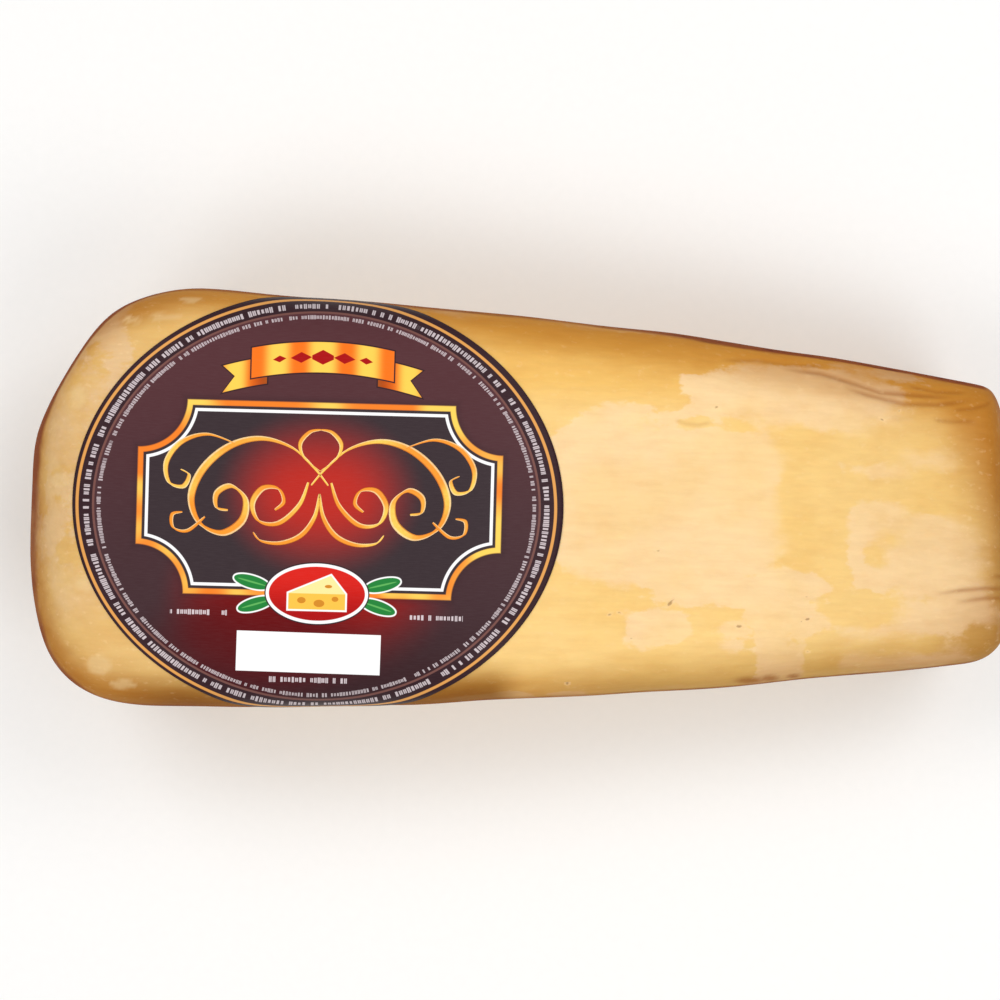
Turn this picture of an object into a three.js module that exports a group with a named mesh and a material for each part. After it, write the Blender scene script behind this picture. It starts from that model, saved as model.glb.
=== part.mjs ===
// A whole provolone loaf: a long, tapering, square-shouldered block of cheese with a big oval
// paper label stuck on its broad face. It lies on its back with the label up.
// Units are millimetres. +X runs from the wide end to the narrow end, +Z is up, and the origin
// is under the middle of the loaf, on the surface it lies on.

import * as THREE from 'three';
import { mergeVertices } from 'three/addons/utils/BufferGeometryUtils.js';

// ---------------------------------------------------------------------------------------------
// Driving dimensions
// ---------------------------------------------------------------------------------------------

// The loaf's outline from above. Its two long sides start at the full half width, a palm's width
// in from the wide end, and draw in by a slope and a slow bow. Places along the loaf count from
// a line 183 mm in from its wide end.
const length = 370.6;
const wideEndX = -183;
const fullHalfWidth = 76.4;
const fullWidthAt = 60;
const rearSide = { slope: 0.029, bow: 0.00018 };
const frontSide = { slope: 0.018, bow: 0.00019 };

// How far each end takes to round off, and how square that rounding is (2 is an ellipse).
const wideRearCorner = { reach: 68, squareness: 2.07 };
const wideFrontCorner = { reach: 59, squareness: 2.75 };
const wideEndProfile = { reach: 40, squareness: 2.2 };
const narrowRearCorner = { reach: 14.5, squareness: 2.7 };
const narrowFrontCorner = { reach: 24.6, squareness: 2.85 };
const narrowProfile = { reach: 15.4, squareness: 2 };

// The cross-section is a rounded square, a little thinner than it is wide.
const sectionSquareness = 6;
const thicknessToWidth = 0.8;

// The narrow end isn't quite square to the loaf: its front corner reaches further.
const narrowEndSkew = -0.065;
const skewFrom = 110;
const skewOver = 70;

// Flats pressed into the loaf where it lay against its mould and its neighbours. Each is a plane
// with an outward normal, at a distance from the point on the axis at the given height.
const flats = [
  { name: 'wide rear corner', azimuth: 149.6, elevation: 8, distance: 166.3, height: 80, softness: 2.5 },
  { name: 'rear side', azimuth: 79.9, elevation: 3, distance: 81.2, height: 50, softness: 1.5 },
  { name: 'wide end', azimuth: 194.4, elevation: 5, distance: 183.5, height: 80, softness: 2.5 },
];

// Broad unevenness of a loaf shaped and hung by hand.
const swellHeight = 0.55;
const swells = [
  { alongX: 58, around: 2, phase: 0.4 },
  { alongX: 91, around: 3, phase: 2.1 },
  { alongX: 137, around: 5, phase: 4.0 },
];

// Folds in the rind that run along the rear shoulder towards the narrow end.
const folds = { from: 60, to: 168, fade: 26, angle: 0.82, halfSpread: 0.17, count: 2.5, depth: 0.75 };

// A shallow hollow in the wide end, and the lip above it.
const endHollow = { x: -183, y: 6, z: 66, radius: 26, depth: 1.3 };

// The flat that it rests on.
const restingFlatDepth = 0.6;

// The label: an oval of paper, its centre over the wide half of the loaf.
const labelLength = 173;
const labelWidth = 151;
const labelCentreX = -72;
const labelCentreY = -1.3;
const labelThickness = 0.45;
const labelGap = 0.4;
const labelWrap = 0.09;

// Mesh fineness.
const sectorsRound = 72;
const shoulderExtraSectors = 14;
const wideEndRings = 15;
const sideRings = 24;
const narrowEndRings = 10;
const labelRings = 14;
const labelSectors = 64;

// ---------------------------------------------------------------------------------------------
// The loaf's surface
// ---------------------------------------------------------------------------------------------

const narrowEndX = wideEndX + length;

// 1 on the straight part, falling to 0 at the tip, over the end's reach.
function rounding(distanceFromTip, end) {
  const inwards = THREE.MathUtils.clamp(1 - distanceFromTip / end.reach, 0, 1);
  return Math.pow(1 - Math.pow(inwards, end.squareness), 1 / end.squareness);
}

function halfWidthOf(side, x) {
  const along = x - wideEndX - fullWidthAt;
  return fullHalfWidth - side.slope * along - side.bow * along * along;
}

function directionOf(azimuth, elevation) {
  const turn = THREE.MathUtils.degToRad(azimuth);
  const rise = THREE.MathUtils.degToRad(elevation);
  return new THREE.Vector3(Math.cos(turn) * Math.cos(rise), Math.sin(turn) * Math.cos(rise), Math.sin(rise));
}

// Pushes a point back behind a flat, with a soft edge all round it.
function pressFlat(point, flat) {
  const normal = directionOf(flat.azimuth, flat.elevation);
  const proud = point.x * normal.x + point.y * normal.y + (point.z - flat.height) * normal.z - flat.distance;
  const push = flat.softness * Math.log1p(Math.exp(Math.min(proud / flat.softness, 40)));
  point.addScaledVector(normal, -push);
}

// The height of the rind's folds, in millimetres, at a place on the loaf.
function foldHeight(x, angle) {
  const across = (angle - folds.angle) / folds.halfSpread;
  const inside = THREE.MathUtils.smoothstep(x, folds.from, folds.from + folds.fade)
    * (1 - THREE.MathUtils.smoothstep(x, folds.to - folds.fade, folds.to));
  return folds.depth * inside * Math.exp(-across * across) * Math.cos(across * folds.count + x * 0.03);
}

function swellAt(x, angle) {
  let sum = 0;
  for (const swell of swells) {
    sum += Math.sin(2 * Math.PI * x / swell.alongX + swell.around * angle + swell.phase);
  }
  return swellHeight * sum / swells.length;
}

// A point of the surface: angle 0 faces the rear (+Y), a quarter turn faces up.
function surfacePoint(x, angle) {
  const rear = Math.cos(angle) >= 0;
  const meanHalfWidth = (halfWidthOf(rearSide, x) + halfWidthOf(frontSide, x)) / 2;
  const halfWidth = halfWidthOf(rear ? rearSide : frontSide, x);
  const halfThickness = meanHalfWidth * thicknessToWidth;

  const fromWide = x - wideEndX;
  const fromNarrow = narrowEndX - x;
  const plan = rounding(fromWide, rear ? wideRearCorner : wideFrontCorner)
    * rounding(fromNarrow, rear ? narrowRearCorner : narrowFrontCorner);
  const profile = rounding(fromWide, wideEndProfile) * rounding(fromNarrow, narrowProfile);

  const c = Math.cos(angle);
  const s = Math.sin(angle);
  const square = Math.pow(
    Math.pow(Math.abs(c), sectionSquareness) + Math.pow(Math.abs(s), sectionSquareness),
    -1 / sectionSquareness,
  );
  const proud = (swellAt(x, angle) + foldHeight(x, angle)) * Math.min(plan, profile);
  const y = (halfWidth * square * plan + proud) * c;
  const z = halfThickness + (halfThickness * square * profile + proud) * s;
  const skew = narrowEndSkew * THREE.MathUtils.clamp((x - skewFrom) / skewOver, 0, 1);
  const point = new THREE.Vector3(x + skew * y, y, z);

  for (const flat of flats) pressFlat(point, flat);

  const hollow = new THREE.Vector3(endHollow.x, endHollow.y, endHollow.z).distanceTo(point) / endHollow.radius;
  point.x += endHollow.depth * Math.exp(-hollow * hollow);
  return point;
}

// ---------------------------------------------------------------------------------------------
// Meshes
// ---------------------------------------------------------------------------------------------

function meshFrom(name, positions, triangles, material) {
  const loose = new THREE.BufferGeometry();
  loose.setAttribute('position', new THREE.Float32BufferAttribute(positions, 3));
  loose.setIndex(triangles);
  const geometry = mergeVertices(loose, 1e-4);
  geometry.computeVertexNormals();
  const mesh = new THREE.Mesh(geometry, material);
  mesh.name = name;
  return mesh;
}

// Where the rings stand along the loaf: close together where an end rounds off.
function ringStations() {
  const stations = [];
  const wideReach = wideRearCorner.reach;
  const narrowReach = narrowFrontCorner.reach;
  for (let i = 1; i <= wideEndRings; i += 1) {
    stations.push(wideEndX + wideReach * (1 - Math.cos(0.5 * Math.PI * i / wideEndRings)));
  }
  const sideLength = length - wideReach - narrowReach;
  for (let i = 1; i <= sideRings; i += 1) {
    stations.push(wideEndX + wideReach + sideLength * i / sideRings);
  }
  for (let i = 1; i < narrowEndRings; i += 1) {
    stations.push(narrowEndX - narrowReach * (1 - Math.sin(0.5 * Math.PI * i / narrowEndRings)));
  }
  return stations;
}

// Evenly spaced round the section, with more over the folded shoulder.
function sectorAngles() {
  const angles = [];
  for (let i = 0; i < sectorsRound; i += 1) angles.push(2 * Math.PI * i / sectorsRound);
  const first = folds.angle - folds.halfSpread * 1.4;
  const span = folds.halfSpread * 2.8;
  for (let i = 0; i < shoulderExtraSectors; i += 1) {
    angles.push(first + span * (i + 0.5) / shoulderExtraSectors);
  }
  angles.sort((a, b) => a - b);
  return angles.filter((angle, i) => i === 0 || angle - angles[i - 1] > 0.012);
}

function buildCheese() {
  const stations = ringStations();
  const angles = sectorAngles();
  const round = angles.length;
  const positions = [];
  const triangles = [];

  const addPoint = (point) => {
    positions.push(point.x, point.y, Math.max(point.z - restingFlatDepth, 0));
  };

  for (const x of stations) {
    for (const angle of angles) addPoint(surfacePoint(x, angle));
  }
  const wideTip = stations.length * round;
  addPoint(surfacePoint(wideEndX, 0));
  addPoint(surfacePoint(narrowEndX, 0));

  for (let ring = 0; ring < stations.length - 1; ring += 1) {
    for (let i = 0; i < round; i += 1) {
      const next = (i + 1) % round;
      const a = ring * round + i;
      const b = ring * round + next;
      const c = a + round;
      const d = b + round;
      triangles.push(a, b, c, b, d, c);
    }
  }
  const lastRing = (stations.length - 1) * round;
  for (let i = 0; i < round; i += 1) {
    const next = (i + 1) % round;
    triangles.push(wideTip, next, i);
    triangles.push(wideTip + 1, lastRing + i, lastRing + next);
  }
  const rind = new THREE.MeshStandardMaterial({ color: 0xefc98c, roughness: 0.42, metalness: 0 });
  return meshFrom('cheese', positions, triangles, rind);
}

// The angle at which the paper, laid flat over the face and bent over its edges, has gone
// the given distance from the face's middle line.
function angleAcross(x, across) {
  const crown = surfacePoint(x, Math.PI / 2);
  let low = 0;
  let high = Math.PI / 2;
  for (let step = 0; step < 40; step += 1) {
    const middle = (low + high) / 2;
    const point = surfacePoint(x, across > 0 ? Math.PI / 2 - middle : Math.PI / 2 + middle);
    const gone = Math.abs(point.y) + labelWrap * Math.max(crown.z - point.z, 0);
    if (gone < Math.abs(across)) low = middle;
    else high = middle;
  }
  return across > 0 ? Math.PI / 2 - low : Math.PI / 2 + low;
}

function buildLabel() {
  const positions = [];
  const triangles = [];
  const nudge = 0.4;

  const addPair = (x, across) => {
    const angle = angleAcross(x, across);
    const point = surfacePoint(x, angle);
    const alongX = surfacePoint(x + nudge, angle).sub(surfacePoint(x - nudge, angle));
    const around = surfacePoint(x, angle + 0.01).sub(surfacePoint(x, angle - 0.01));
    const normal = around.cross(alongX).normalize();
    point.z -= restingFlatDepth;
    for (const lift of [labelGap + labelThickness, labelGap]) {
      positions.push(point.x + normal.x * lift, point.y + normal.y * lift, point.z + normal.z * lift);
    }
  };

  addPair(labelCentreX, labelCentreY);
  for (let ring = 1; ring <= labelRings; ring += 1) {
    const share = Math.sin(0.5 * Math.PI * ring / labelRings);
    for (let i = 0; i < labelSectors; i += 1) {
      const turn = 2 * Math.PI * i / labelSectors;
      addPair(
        labelCentreX + 0.5 * labelLength * share * Math.cos(turn),
        labelCentreY + 0.5 * labelWidth * share * Math.sin(turn),
      );
    }
  }

  const at = (ring, i, under) => (ring === 0 ? 0 : 2 * (1 + (ring - 1) * labelSectors + i % labelSectors)) + under;
  for (let i = 0; i < labelSectors; i += 1) {
    triangles.push(at(0, 0, 0), at(1, i, 0), at(1, i + 1, 0));
    triangles.push(at(0, 0, 1), at(1, i + 1, 1), at(1, i, 1));
    for (let ring = 1; ring < labelRings; ring += 1) {
      triangles.push(at(ring, i, 0), at(ring + 1, i, 0), at(ring, i + 1, 0));
      triangles.push(at(ring, i + 1, 0), at(ring + 1, i, 0), at(ring + 1, i + 1, 0));
      triangles.push(at(ring, i, 1), at(ring, i + 1, 1), at(ring + 1, i, 1));
      triangles.push(at(ring, i + 1, 1), at(ring + 1, i + 1, 1), at(ring + 1, i, 1));
    }
    triangles.push(at(labelRings, i, 0), at(labelRings, i, 1), at(labelRings, i + 1, 0));
    triangles.push(at(labelRings, i + 1, 0), at(labelRings, i, 1), at(labelRings, i + 1, 1));
  }
  const print = new THREE.MeshStandardMaterial({ color: 0x4e2f33, roughness: 0.35, metalness: 0 });
  return meshFrom('label', positions, triangles, print);
}

// ---------------------------------------------------------------------------------------------
// The part
// ---------------------------------------------------------------------------------------------

const loaf = new THREE.Group();
loaf.add(buildCheese(), buildLabel());

// The loaf bulges a little more to one side, so it is shifted to stand centred on the origin.
const extent = new THREE.Box3().setFromObject(loaf);
const middle = extent.getCenter(new THREE.Vector3());
for (const piece of loaf.children) piece.position.set(-middle.x, -middle.y, 0);

export default loaf;
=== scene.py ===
import math

import bmesh
import bpy
import numpy as np
from mathutils import Euler, Matrix, Vector, noise


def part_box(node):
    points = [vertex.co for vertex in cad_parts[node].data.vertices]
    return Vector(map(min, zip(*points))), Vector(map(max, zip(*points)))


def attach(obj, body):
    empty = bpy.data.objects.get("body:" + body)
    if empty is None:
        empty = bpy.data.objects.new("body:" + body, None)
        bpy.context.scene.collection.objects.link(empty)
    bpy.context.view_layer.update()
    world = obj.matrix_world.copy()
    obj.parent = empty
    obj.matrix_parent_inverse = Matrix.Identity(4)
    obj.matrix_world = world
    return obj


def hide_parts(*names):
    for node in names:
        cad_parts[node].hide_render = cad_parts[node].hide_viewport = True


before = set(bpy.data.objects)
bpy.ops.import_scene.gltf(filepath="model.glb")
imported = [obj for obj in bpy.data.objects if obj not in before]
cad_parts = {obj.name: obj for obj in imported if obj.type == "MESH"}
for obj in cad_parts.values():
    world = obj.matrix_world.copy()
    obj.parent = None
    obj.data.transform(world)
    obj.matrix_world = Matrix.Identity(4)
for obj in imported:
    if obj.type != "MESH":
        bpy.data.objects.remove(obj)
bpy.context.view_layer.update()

MM = 0.001

# ------------------------------------------------------------
# The studio: a pale paper floor, a white room and wide soft lights, and a camera straight above
# the loaf that takes in all of it but the last few millimetres of the narrow end. The loaf lies
# a little askew in the view.
# ------------------------------------------------------------

camera_height = 850 * MM
camera_place = (-10.86 * MM, 2.2 * MM)
camera_turn = math.radians(1.51)
view_width_at_height = {"width": 370 * MM, "height": 80 * MM}
room_light = 0.40
floor_size = 6.0


def add_to_scene(name, data):
    """A new object that holds the data, linked into the scene."""
    thing = bpy.data.objects.new(name, data)
    bpy.context.scene.collection.objects.link(thing)
    return thing


camera_data = bpy.data.cameras.new("camera")
camera_data.lens_unit = "FOV"
camera_data.angle = 2 * math.atan(
    view_width_at_height["width"] / 2 / (camera_height - view_width_at_height["height"])
)
camera_data.clip_start = 0.01
camera = add_to_scene("camera", camera_data)
camera.location = (*camera_place, camera_height)
camera.rotation_euler = Euler((0, 0, camera_turn))
bpy.context.scene.camera = camera


def soft_light(name, place, target, size, power, tint):
    """A square area light that faces a point."""
    data = bpy.data.lights.new(name, "AREA")
    data.shape = "SQUARE"
    data.size = size
    data.energy = power
    data.color = tint
    light = add_to_scene(name, data)
    light.location = place
    light.rotation_euler = (Vector(target) - Vector(place)).to_track_quat("-Z", "Y").to_euler()


softbox = {"along": 0.68, "across": 0.62, "height": 1.5, "target": (0.02, 0, 0.1), "size": 0.7}
softbox_power, softbox_tint = 6.2, (1.0, 0.99, 0.98)
top_softbox = {"place": (0.40, 0.05, 1.5), "target": (0.05, 0, 0.1), "size": 0.3}
top_power, top_tint = 1.0, (1.0, 0.97, 0.98)
for name, side_x, side_y in (
    ("rear_left_softbox", -1, 1), ("rear_right_softbox", 1, 1),
    ("front_left_softbox", -1, -1), ("front_right_softbox", 1, -1),
):
    place = (softbox["along"] * side_x, softbox["across"] * side_y, softbox["height"])
    soft_light(name, place, softbox["target"], softbox["size"], softbox_power, softbox_tint)
soft_light("top_softbox", *top_softbox.values(), top_power, top_tint)

world = bpy.data.worlds.new("studio")
world.use_nodes = True
world.node_tree.nodes["Background"].inputs["Color"].default_value = (0.98, 0.99, 1.0, 1)
world.node_tree.nodes["Background"].inputs["Strength"].default_value = room_light
bpy.context.scene.world = world
bpy.context.scene.view_settings.view_transform = "Standard"


def new_material(name):
    """A material with its shader, ready for nodes; returns it, its tree and the shader."""
    material = bpy.data.materials.new(name)
    material.use_nodes = True
    return material, material.node_tree, material.node_tree.nodes["Principled BSDF"]


def set_finish(shader, finish):
    """Gives the shader its plain values."""
    for name, value in finish.items():
        shader.inputs[name].default_value = value


def piece_from(bm, name, material):
    """Turns a finished bmesh into an object with one material."""
    mesh = bpy.data.meshes.new(name)
    bm.to_mesh(mesh)
    bm.free()
    mesh.materials.append(material)
    mesh.shade_smooth()
    return add_to_scene(name, mesh)


def move_points(bm, places):
    for vertex, place in zip(bm.verts, places):
        vertex.co = place


def colour(red, green, blue):
    """A colour given as it looks on a screen, 0 to 255, as the shader's own linear values."""
    linear = [
        c / 12.92 if c <= 0.04045 else ((c + 0.055) / 1.055) ** 2.4
        for c in (red / 255, green / 255, blue / 255)
    ]
    return (*linear, 1.0)


class Wires:
    """Adds maths and pattern nodes to a material and wires them up."""

    def __init__(self, tree):
        self.tree = tree
        self.colours = None

    def plug(self, value, socket):
        if isinstance(value, bpy.types.NodeSocket):
            self.tree.links.new(value, socket)
        else:
            socket.default_value = value

    def new(self, kind):
        return self.tree.nodes.new("ShaderNode" + kind)

    def feed(self, node, inputs):
        """Plugs a node's inputs in and returns its outputs."""
        for socket, value in inputs.items():
            self.plug(value, node.inputs[socket])
        return node.outputs

    def maths(self, operation, a, b=0.0, c=0.0):
        node = self.new("Math")
        node.operation = operation
        return self.feed(node, {0: a, 1: b, 2: c})[0]

    def times(self, a, b):
        return self.maths("MULTIPLY", a, b)

    def plus(self, a, b):
        return self.maths("ADD", a, b)

    def minus(self, a, b):
        return self.maths("SUBTRACT", a, b)

    def scaled(self, value, factor, offset):
        """The value times a factor, then moved by an offset."""
        return self.maths("MULTIPLY_ADD", value, factor, offset)

    def waver(self, pattern, span):
        """A pattern of 0 to 1, scaled to a span with 0 in its middle."""
        return self.scaled(pattern, span, -span / 2)

    def vector(self, operation, a, b=(0, 0, 0)):
        node = self.new("VectorMath")
        node.operation = operation
        outputs = self.feed(node, {0: a, 1: b})
        return outputs["Value" if operation in ("LENGTH", "DOT_PRODUCT") else "Vector"]

    def split(self, place):
        return self.feed(self.new("SeparateXYZ"), {0: place})

    def step(self, value, start, end, low=0.0, high=1.0):
        """A smooth change from low to high as value goes from start to end."""
        node = self.new("MapRange")
        node.interpolation_type = "SMOOTHSTEP"
        return self.feed(node, {0: value, 1: start, 2: end, 3: low, 4: high})[0]

    def blend(self, share, a, b, mode="MIX"):
        node = self.new("Mix")
        node.data_type = "RGBA"
        node.blend_type = mode
        return self.feed(node, {0: share, 6: a, 7: b})[2]

    def coat(self, share, tint, mode="MIX"):
        """Lays a colour over the colours laid so far."""
        self.colours = self.blend(share, self.colours, tint, mode)

    def noise(self, place, scale, detail=3.0, roughness=0.5, distortion=0.0):
        sizes = {"Scale": scale, "Detail": detail, "Roughness": roughness, "Distortion": distortion}
        return self.feed(self.new("TexNoise"), {"Vector": place, **sizes})["Fac"]

    def stretched(self, place, scale, turn=0.0):
        inputs = {"Vector": place, "Scale": scale, "Rotation": (0, 0, turn)}
        return self.feed(self.new("Mapping"), inputs)[0]

    def attribute(self, name, output="Fac"):
        node = self.new("Attribute")
        node.attribute_name = name
        return node.outputs[output]

    def object_place(self):
        return self.new("TexCoord").outputs["Object"]

    def bump(self, height, depth, strength, under=None):
        inputs = {"Height": height, "Distance": depth, "Strength": strength}
        if under is not None:
            inputs["Normal"] = under
        return self.feed(self.new("Bump"), inputs)[0]


bm = bmesh.new()
bmesh.ops.create_grid(bm, x_segments=2, y_segments=2, size=floor_size / 2)
floor_material, tree, shader = new_material("floor_paper")
wires = Wires(tree)
grain = wires.noise(wires.object_place(), 260.0, 3.0)
wires.plug(wires.blend(grain, colour(247, 247, 246), colour(250, 250, 249)), shader.inputs["Base Color"])
set_finish(shader, {"Roughness": 0.9, "Specular IOR Level": 0.2})
floor = piece_from(bm, "floor", floor_material)

# ------------------------------------------------------------
# The loaf: one block of stretched-curd cheese, moulded square with a soft taper, brined, dried
# and aged until it has a thin smooth rind. Clear film is drawn tight over it, so the rind
# looks waxy, and shows pale where the film stands off and ochre where it clings.
# ------------------------------------------------------------

length = 370.6
wide_end_x = -183
narrow_end_x = wide_end_x + length
full_half_width = 76.4
full_width_at = 60
rear_side = {"slope": 0.029, "bow": 0.00018}
front_side = {"slope": 0.018, "bow": 0.00019}
wide_rear_corner = {"reach": 68, "squareness": 2.07}
wide_front_corner = {"reach": 59, "squareness": 2.75}
wide_end_profile = {"reach": 40, "squareness": 2.2}
narrow_rear_corner = {"reach": 14.5, "squareness": 2.7}
narrow_front_corner = {"reach": 24.6, "squareness": 2.85}
narrow_profile = {"reach": 15.4, "squareness": 2}
section_squareness = 6
thickness_to_width = 0.8
narrow_end_skew = {"amount": -0.065, "start": 110, "over": 70}
flats = (
    {"azimuth": 149.6, "elevation": 8, "distance": 166.3, "height": 80, "softness": 2.5},
    {"azimuth": 79.9, "elevation": 3, "distance": 81.2, "height": 50, "softness": 1.5},
    {"azimuth": 194.4, "elevation": 5, "distance": 183.5, "height": 80, "softness": 2.5},
)
swell_height = 0.55
swells = ((58, 2, 0.4), (91, 3, 2.1), (137, 5, 4.0))
folds = {
    "start": 60, "end": 168, "fade": 26, "angle": 0.82, "half_spread": 0.17, "count": 2.5,
    "drift": 0.03, "depth": 0.75,
}
end_hollow = {"place": (-183, 6, 66), "radius": 26, "depth": 1.3}
resting_flat_depth = 0.6

loaf_rings = 308
loaf_sectors = 268
upper_side_share = 0.5


def smooth(value, start, end):
    share = np.clip((value - start) / (end - start), 0, 1)
    return share * share * (3 - 2 * share)


def rounding(distance, end):
    """1 along the straight part of the loaf, falling to 0 at its tip."""
    inwards = np.clip(1 - distance / end["reach"], 0, 1)
    return (1 - inwards ** end["squareness"]) ** (1 / end["squareness"])


def half_width(side, x):
    along = x - wide_end_x - full_width_at
    return full_half_width - side["slope"] * along - side["bow"] * along * along


def press_flat(points, flat):
    """Pushes points back behind a plane, softly, where the loaf was pressed flat."""
    turn = math.radians(flat["azimuth"])
    rise = math.radians(flat["elevation"])
    normal = np.array(
        [math.cos(turn) * math.cos(rise), math.sin(turn) * math.cos(rise), math.sin(rise)]
    )
    proud = (points - (0, 0, flat["height"])) @ normal - flat["distance"]
    push = flat["softness"] * np.logaddexp(0, proud / flat["softness"])
    return points - push[:, None] * normal


def fold_height(x, angle):
    across = (angle - folds["angle"]) / folds["half_spread"]
    inside = smooth(x, folds["start"], folds["start"] + folds["fade"]) * (
        1 - smooth(x, folds["end"] - folds["fade"], folds["end"])
    )
    wave = np.cos(across * folds["count"] + x * folds["drift"])
    return folds["depth"] * inside * np.exp(-across * across) * wave


def loaf_surface(x, angle):
    """Points of the loaf in millimetres; angle 0 faces the rear and a quarter turn faces up."""
    rear = np.cos(angle) >= 0
    rear_width = half_width(rear_side, x)
    front_width = half_width(front_side, x)
    mean_width = (rear_width + front_width) / 2
    from_wide = x - wide_end_x
    from_narrow = narrow_end_x - x
    plan = np.where(
        rear,
        rounding(from_wide, wide_rear_corner) * rounding(from_narrow, narrow_rear_corner),
        rounding(from_wide, wide_front_corner) * rounding(from_narrow, narrow_front_corner),
    )
    profile = rounding(from_wide, wide_end_profile) * rounding(from_narrow, narrow_profile)
    c = np.cos(angle)
    s = np.sin(angle)
    square = (np.abs(c) ** section_squareness + np.abs(s) ** section_squareness) ** (
        -1 / section_squareness
    )
    waves = sum(np.sin(2 * math.pi * x / span + count * angle + phase) for span, count, phase in swells)
    proud = (swell_height * waves / len(swells) + fold_height(x, angle)) * np.minimum(plan, profile)
    y = (np.where(rear, rear_width, front_width) * square * plan + proud) * c
    half_thickness = mean_width * thickness_to_width
    z = half_thickness + (half_thickness * square * profile + proud) * s
    skew = narrow_end_skew["amount"] * np.clip(
        (x - narrow_end_skew["start"]) / narrow_end_skew["over"], 0, 1
    )
    points = np.stack([x + skew * y, y, z], axis=1)
    for flat in flats:
        points = press_flat(points, flat)
    hollow = np.linalg.norm(points - end_hollow["place"], axis=1) / end_hollow["radius"]
    points[:, 0] += end_hollow["depth"] * np.exp(-hollow * hollow)
    points[:, 2] = np.maximum(points[:, 2] - resting_flat_depth, 0)
    return points


def station(share):
    """Where along the loaf a ring stands, with the rings drawn together at both ends."""
    wide_share, narrow_share, narrow_gathering = 0.24, 0.15, 1.6
    wide_reach, narrow_reach = wide_rear_corner["reach"], narrow_front_corner["reach"]
    wide = wide_end_x + wide_reach * (1 - np.cos(0.5 * math.pi * np.clip(share / wide_share, 0, 1)))
    along = np.clip((share - wide_share) / (1 - wide_share - narrow_share), 0, 1)
    straight = wide_end_x + wide_reach + (length - wide_reach - narrow_reach) * along
    closing = np.clip((1 - share) / narrow_share, 0, 1)
    closing = (1 - np.cos(0.5 * math.pi * closing)) ** narrow_gathering
    narrow = narrow_end_x - narrow_reach * closing
    return np.where(share < wide_share, wide, np.where(share < 1 - narrow_share, straight, narrow))


def loaf_places(bm):
    """The loaf's surface under each vertex of a ball whose poles are the loaf's two ends."""
    ball = np.array([v.co for v in bm.verts])
    share = np.arctan2(np.hypot(ball[:, 1], ball[:, 2]), -ball[:, 0]) / math.pi
    turn = np.arctan2(ball[:, 2], ball[:, 1])
    return loaf_surface(station(share), turn + upper_side_share * np.cos(turn))


# Small faults of the rind, at places along and across the top of the loaf: nicks with their half
# length, depth and slant, creases of the film with their half width and depth, spots where the
# film is stuck down with their half size and depth, and burnt spots with their half size.
nicks = (
    ((49.2, -14.6), 0.8, 0.4, -20), ((54.3, -33.2), 1.3, 0.6, 50), ((55.6, -31.9), 0.8, 0.5, 50),
    ((32.6, -37.6), 1.0, 0.35, 25), ((36.4, -37.0), 1.0, 0.4, -15), ((79.6, -41.0), 1.4, 0.6, 5),
    ((60.3, -37.8), 0.8, 0.3, 0), ((104.4, -29.8), 0.7, 0.3, 0), ((104.8, -38.0), 1.2, 0.5, 20),
    ((102.6, -38.9), 1.0, 0.35, 45), ((105.4, -49.8), 0.8, 0.4, -10), ((18.3, -63.4), 0.9, 0.7, 0),
    ((69.1, 37.4), 0.9, 0.35, 20), ((79.5, 32.8), 0.7, 0.3, 0), ((130.7, 35.2), 1.0, 0.4, -35),
    ((137.2, 38.5), 0.8, 0.35, 40), ((103.0, 23.6), 0.6, 0.25, 0), ((40.6, -46.2), 0.9, 0.3, 30),
    ((45.4, -41.6), 0.8, 0.25, 0), ((56.8, -44.6), 0.6, 0.25, 0), ((23.0, -22.0), 0.7, 0.2, 10),
    ((40.4, -20.3), 0.7, 0.2, -10), ((91.0, -33.2), 0.6, 0.3, 0), ((86.4, -35.6), 0.6, 0.25, 30),
    ((91.6, -36.4), 0.6, 0.25, 60),
)
creases = (
    ([(92, 53), (108, 51.6), (121, 48), (130, 45.2), (146, 44.6), (160, 44.2)], 1.1, 0.55),
    ([(116, 46.5), (128, 43.5), (139, 41.2), (152, 41.4), (166, 43.6)], 1.2, 0.55),
    ([(140, 48.3), (152, 46.2), (164, 46.6)], 0.9, 0.4),
    ([(150, 35.6), (158, 35.2), (167, 36.0)], 1.0, 0.35),
    ([(158, 39.6), (166, 40.6), (174, 43.2)], 0.9, 0.4),
    ([(70, 55), (84, 55.5), (97, 54.2), (112, 54.4)], 1.0, 0.35),
    ([(152, -28.2), (162, -26.6), (172, -25.6), (185, -25.8)], 0.9, 0.6),
    ([(160, -31.0), (172, -29.3), (185, -29.0)], 1.0, 0.5),
    ([(172, -21.0), (186, -21.6)], 1.2, 0.4),
    ([(54, 32.6), (58, 31.2), (63, 30.9), (68, 32.2)], 0.9, 0.2),
)
stuck_spots = (
    ((-147, -59.5), (4.6, 3.8), 0.35), ((-139, -66.5), (4.8, 1.6), 0.3),
    ((-127, 63.5), (5.6, 1.3), 0.25), ((-139, 62.2), (3.6, 1.2), 0.2), ((-119, 70.5), (4.0, 1.0), 0.2),
    ((-151, -31), (5.0, 2.4), 0.2), ((-163, 5), (4.5, 2.4), 0.2), ((-157, 34), (3.0, 4.4), 0.2),
)
burnt_spots = (((85.0, -61.4), (5.6, 1.5)), ((92.5, -60.4), (3.4, 1.4)), ((101.5, -59.6), (2.6, 1.0)))
nick_narrowness, least_nick_mark = 0.5, 0.35
crease_darkening = {"most": 0.72, "per_depth": 1.4, "width": 0.8}
crease_ends = {"runs_off_past": 180, "fade_in": 3, "fade_both": 2.2}
faults_start, faults_full = 62, 74
stuck_spot_edge, stuck_spots_above = (0.8, 1.15), 60
dent = {"spacing": 24, "depth": 0.3}
fine_dent = {"along": 16, "across": 5, "shift": 40, "depth": 0.07}
smooth_below, relief_above = 0.3, 4
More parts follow.
